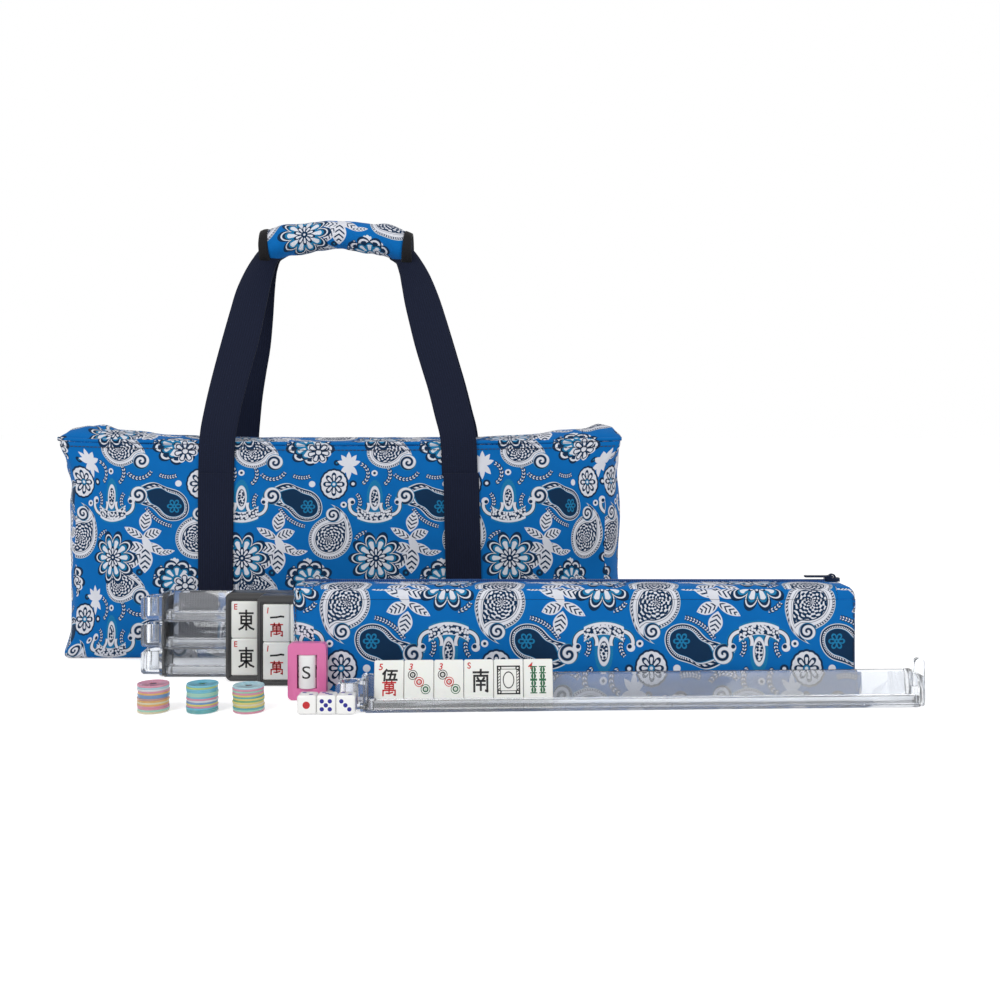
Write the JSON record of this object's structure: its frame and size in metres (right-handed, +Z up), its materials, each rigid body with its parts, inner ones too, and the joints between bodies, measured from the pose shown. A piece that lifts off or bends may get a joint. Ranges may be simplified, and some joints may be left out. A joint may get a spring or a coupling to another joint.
{
  "type": "mahjong case set",
  "caption": "Zipped tote case with a padded webbing handle, its slim case, tile trays, clear racks with pushers, tiles, wind marker, dice and chips.",
  "frame": {"origin": "middle of the tote's base face, on the surface that everything stands on", "axes": "+X along the tote to the right, +Y from the set at the front to the tote's back, +Z up"},
  "size_m": [0.7228, 0.292, 0.405],
  "materials": {
    "print_cloth": "printed quilted cotton",
    "webbing": "woven navy webbing",
    "binding": "black bias binding",
    "board": "grey stiff board",
    "zip_coil": "moulded nylon coil and tape",
    "zip_metal": "dark enamelled metal",
    "clear_acrylic": "polished clear acrylic",
    "tray_black": "glossy moulded plastic",
    "tile_ivory": "polished ivory resin",
    "marker_pink": "moulded pink plastic",
    "marker_white": "white plastic",
    "dice_white": "white plastic with inked pips",
    "chips": "pastel translucent plastic",
    "steel": "plain steel pin"
  },
  "bodies": {
    "tote": {"base_panel": "print_cloth", "base_board": "board", "front_panel": "print_cloth", "back_panel": "print_cloth", "left_gusset": "print_cloth", "right_gusset": "print_cloth", "top_piping": "print_cloth", "top_end_tabs": "print_cloth", "webbing_front": "webbing", "webbing_back": "webbing", "strap_front": "webbing", "strap_back": "webbing"},
    "handle": {"handle_wrap": "print_cloth", "wrap_bindings": "binding", "webbing_bundle": "webbing"},
    "front_flap": {"top_flap_front": "print_cloth", "zip_half_front": "zip_coil"},
    "back_flap": {"top_flap_back": "print_cloth", "zip_half_back": "zip_coil"},
    "tote_slider": {"zip_slider": "zip_metal"},
    "tote_pull": {"zip_pull": "zip_metal"},
    "slim_case": {"slim_case_shell": "print_cloth", "slim_case_top": "print_cloth", "slim_zip_coil": "zip_coil", "tray_3": "tray_black", "tray_3_tiles": "tile_ivory", "tray_4": "tray_black", "tray_4_tiles": "tile_ivory"},
    "slim_flap": {"slim_case_flap": "print_cloth"},
    "slim_slider": {"slim_zip_slider": "zip_metal"},
    "slim_pull": {"slim_zip_pull": "zip_metal"},
    "loose_tray_1": {"tray_1": "tray_black", "tray_1_tiles": "tile_ivory"},
    "loose_tray_2": {"tray_2": "tray_black", "tray_2_tiles": "tile_ivory"},
    "stacked_rack_1": {"rack_1_shelf": "clear_acrylic", "rack_1_ends": "clear_acrylic", "rack_1_pusher": "clear_acrylic"},
    "stacked_rack_2": {"rack_2_shelf": "clear_acrylic", "rack_2_ends": "clear_acrylic", "rack_2_pusher": "clear_acrylic"},
    "stacked_rack_3": {"rack_3_shelf": "clear_acrylic", "rack_3_ends": "clear_acrylic", "rack_3_pusher": "clear_acrylic"},
    "front_rack": {"front_rack_shelf": "clear_acrylic", "front_rack_ends": "clear_acrylic", "front_rack_block": "clear_acrylic", "front_rack_peg": "clear_acrylic", "front_rack_pin": "steel"},
    "front_pusher": {"front_rack_pusher": "clear_acrylic"},
    "tiles_on_rack": {"rack_tiles": "tile_ivory"},
    "marker": {"marker_front": "marker_pink", "marker_back": "marker_pink"},
    "drum": {"marker_drum": "marker_white"},
    "die_one": {"die_1": "dice_white"},
    "die_two": {"die_2": "dice_white"},
    "die_three": {"die_3": "dice_white"},
    "chips_one": {"chip_stack_1": "chips"},
    "chips_two": {"chip_stack_2": "chips"},
    "chips_three": {"chip_stack_3": "chips"}
  },
  "joints": [
    {"name": "handle_drop", "type": "slide", "parent": "tote", "child": "handle", "axis": [0, 0, 1], "range_m": [-0.1, 0], "deforming": ["strap_front", "strap_back"]},
    {"name": "front_flap_open", "type": "hinge", "parent": "tote", "child": "front_flap", "pos_m": [0, -0.0454, 0.199], "axis": [1, 0, 0], "range_deg": [0, 65]},
    {"name": "back_flap_open", "type": "hinge", "parent": "tote", "child": "back_flap", "pos_m": [0, 0.0454, 0.199], "axis": [-1, 0, 0], "range_deg": [0, 65]},
    {"name": "tote_zip_run", "type": "slide", "parent": "tote", "child": "tote_slider", "axis": [1, 0, 0], "range_m": [-0.4926, 0]},
    {"name": "tote_pull_turn", "type": "hinge", "parent": "tote_slider", "child": "tote_pull", "pos_m": [0.2463, 0, 0.2021], "axis": [0, 1, 0], "range_deg": [0, 180]},
    {"name": "slim_case_lift", "type": "slide", "parent": "tote", "child": "slim_case", "axis": [0, 0, 1], "range_m": [0, 0.12]},
    {"name": "slim_flap_open", "type": "hinge", "parent": "slim_case", "child": "slim_flap", "pos_m": [0.203, -0.1865, 0.075], "axis": [1, 0, 0], "range_deg": [0, 100]},
    {"name": "slim_zip_run", "type": "slide", "parent": "slim_case", "child": "slim_slider", "axis": [1, 0, 0], "range_m": [-0.418, 0]},
    {"name": "slim_pull_turn", "type": "hinge", "parent": "slim_slider", "child": "slim_pull", "pos_m": [0.412, -0.1553, 0.0891], "axis": [0, 1, 0], "range_deg": [0, 180]},
    {"name": "tray_1_lift", "type": "slide", "parent": "tote", "child": "loose_tray_1", "axis": [0, 0, 1], "range_m": [0, 0.1]},
    {"name": "tray_2_lift", "type": "slide", "parent": "tote", "child": "loose_tray_2", "axis": [0, 0, 1], "range_m": [0, 0.1]},
    {"name": "rack_1_lift", "type": "slide", "parent": "tote", "child": "stacked_rack_1", "axis": [0, 0, 1], "range_m": [0, 0.1]},
    {"name": "rack_2_lift", "type": "slide", "parent": "stacked_rack_1", "child": "stacked_rack_2", "axis": [0, 0, 1], "range_m": [0, 0.1]},
    {"name": "rack_3_lift", "type": "slide", "parent": "stacked_rack_2", "child": "stacked_rack_3", "axis": [0, 0, 1], "range_m": [0, 0.1]},
    {"name": "front_rack_lift", "type": "slide", "parent": "tote", "child": "front_rack", "axis": [0, 0, 1], "range_m": [0, 0.1]},
    {"name": "pusher_swing", "type": "hinge", "parent": "front_rack", "child": "front_pusher", "pos_m": [0.05103, -0.2326, 0.0018], "axis": [0, 0, 1], "range_deg": [-35, 0]},
    {"name": "rack_tiles_lift", "type": "slide", "parent": "front_rack", "child": "tiles_on_rack", "axis": [0, 0, 1], "range_m": [0, 0.06]},
    {"name": "marker_lift", "type": "slide", "parent": "tote", "child": "marker", "axis": [0, 0, 1], "range_m": [0, 0.06]},
    {"name": "drum_turn", "type": "hinge", "parent": "marker", "child": "drum", "pos_m": [-0.0028, -0.195, 0.02175], "axis": [0, 0, 1], "continuous": true},
    {"name": "die_1_lift", "type": "slide", "parent": "tote", "child": "die_one", "axis": [0, 0, 1], "range_m": [0, 0.05]},
    {"name": "die_2_lift", "type": "slide", "parent": "tote", "child": "die_two", "axis": [0, 0, 1], "range_m": [0, 0.05]},
    {"name": "die_3_lift", "type": "slide", "parent": "tote", "child": "die_three", "axis": [0, 0, 1], "range_m": [0, 0.05]},
    {"name": "chips_1_lift", "type": "slide", "parent": "tote", "child": "chips_one", "axis": [0, 0, 1], "range_m": [0, 0.05]},
    {"name": "chips_2_lift", "type": "slide", "parent": "tote", "child": "chips_two", "axis": [0, 0, 1], "range_m": [0, 0.05]},
    {"name": "chips_3_lift", "type": "slide", "parent": "tote", "child": "chips_three", "axis": [0, 0, 1], "range_m": [0, 0.05]}
  ]
}
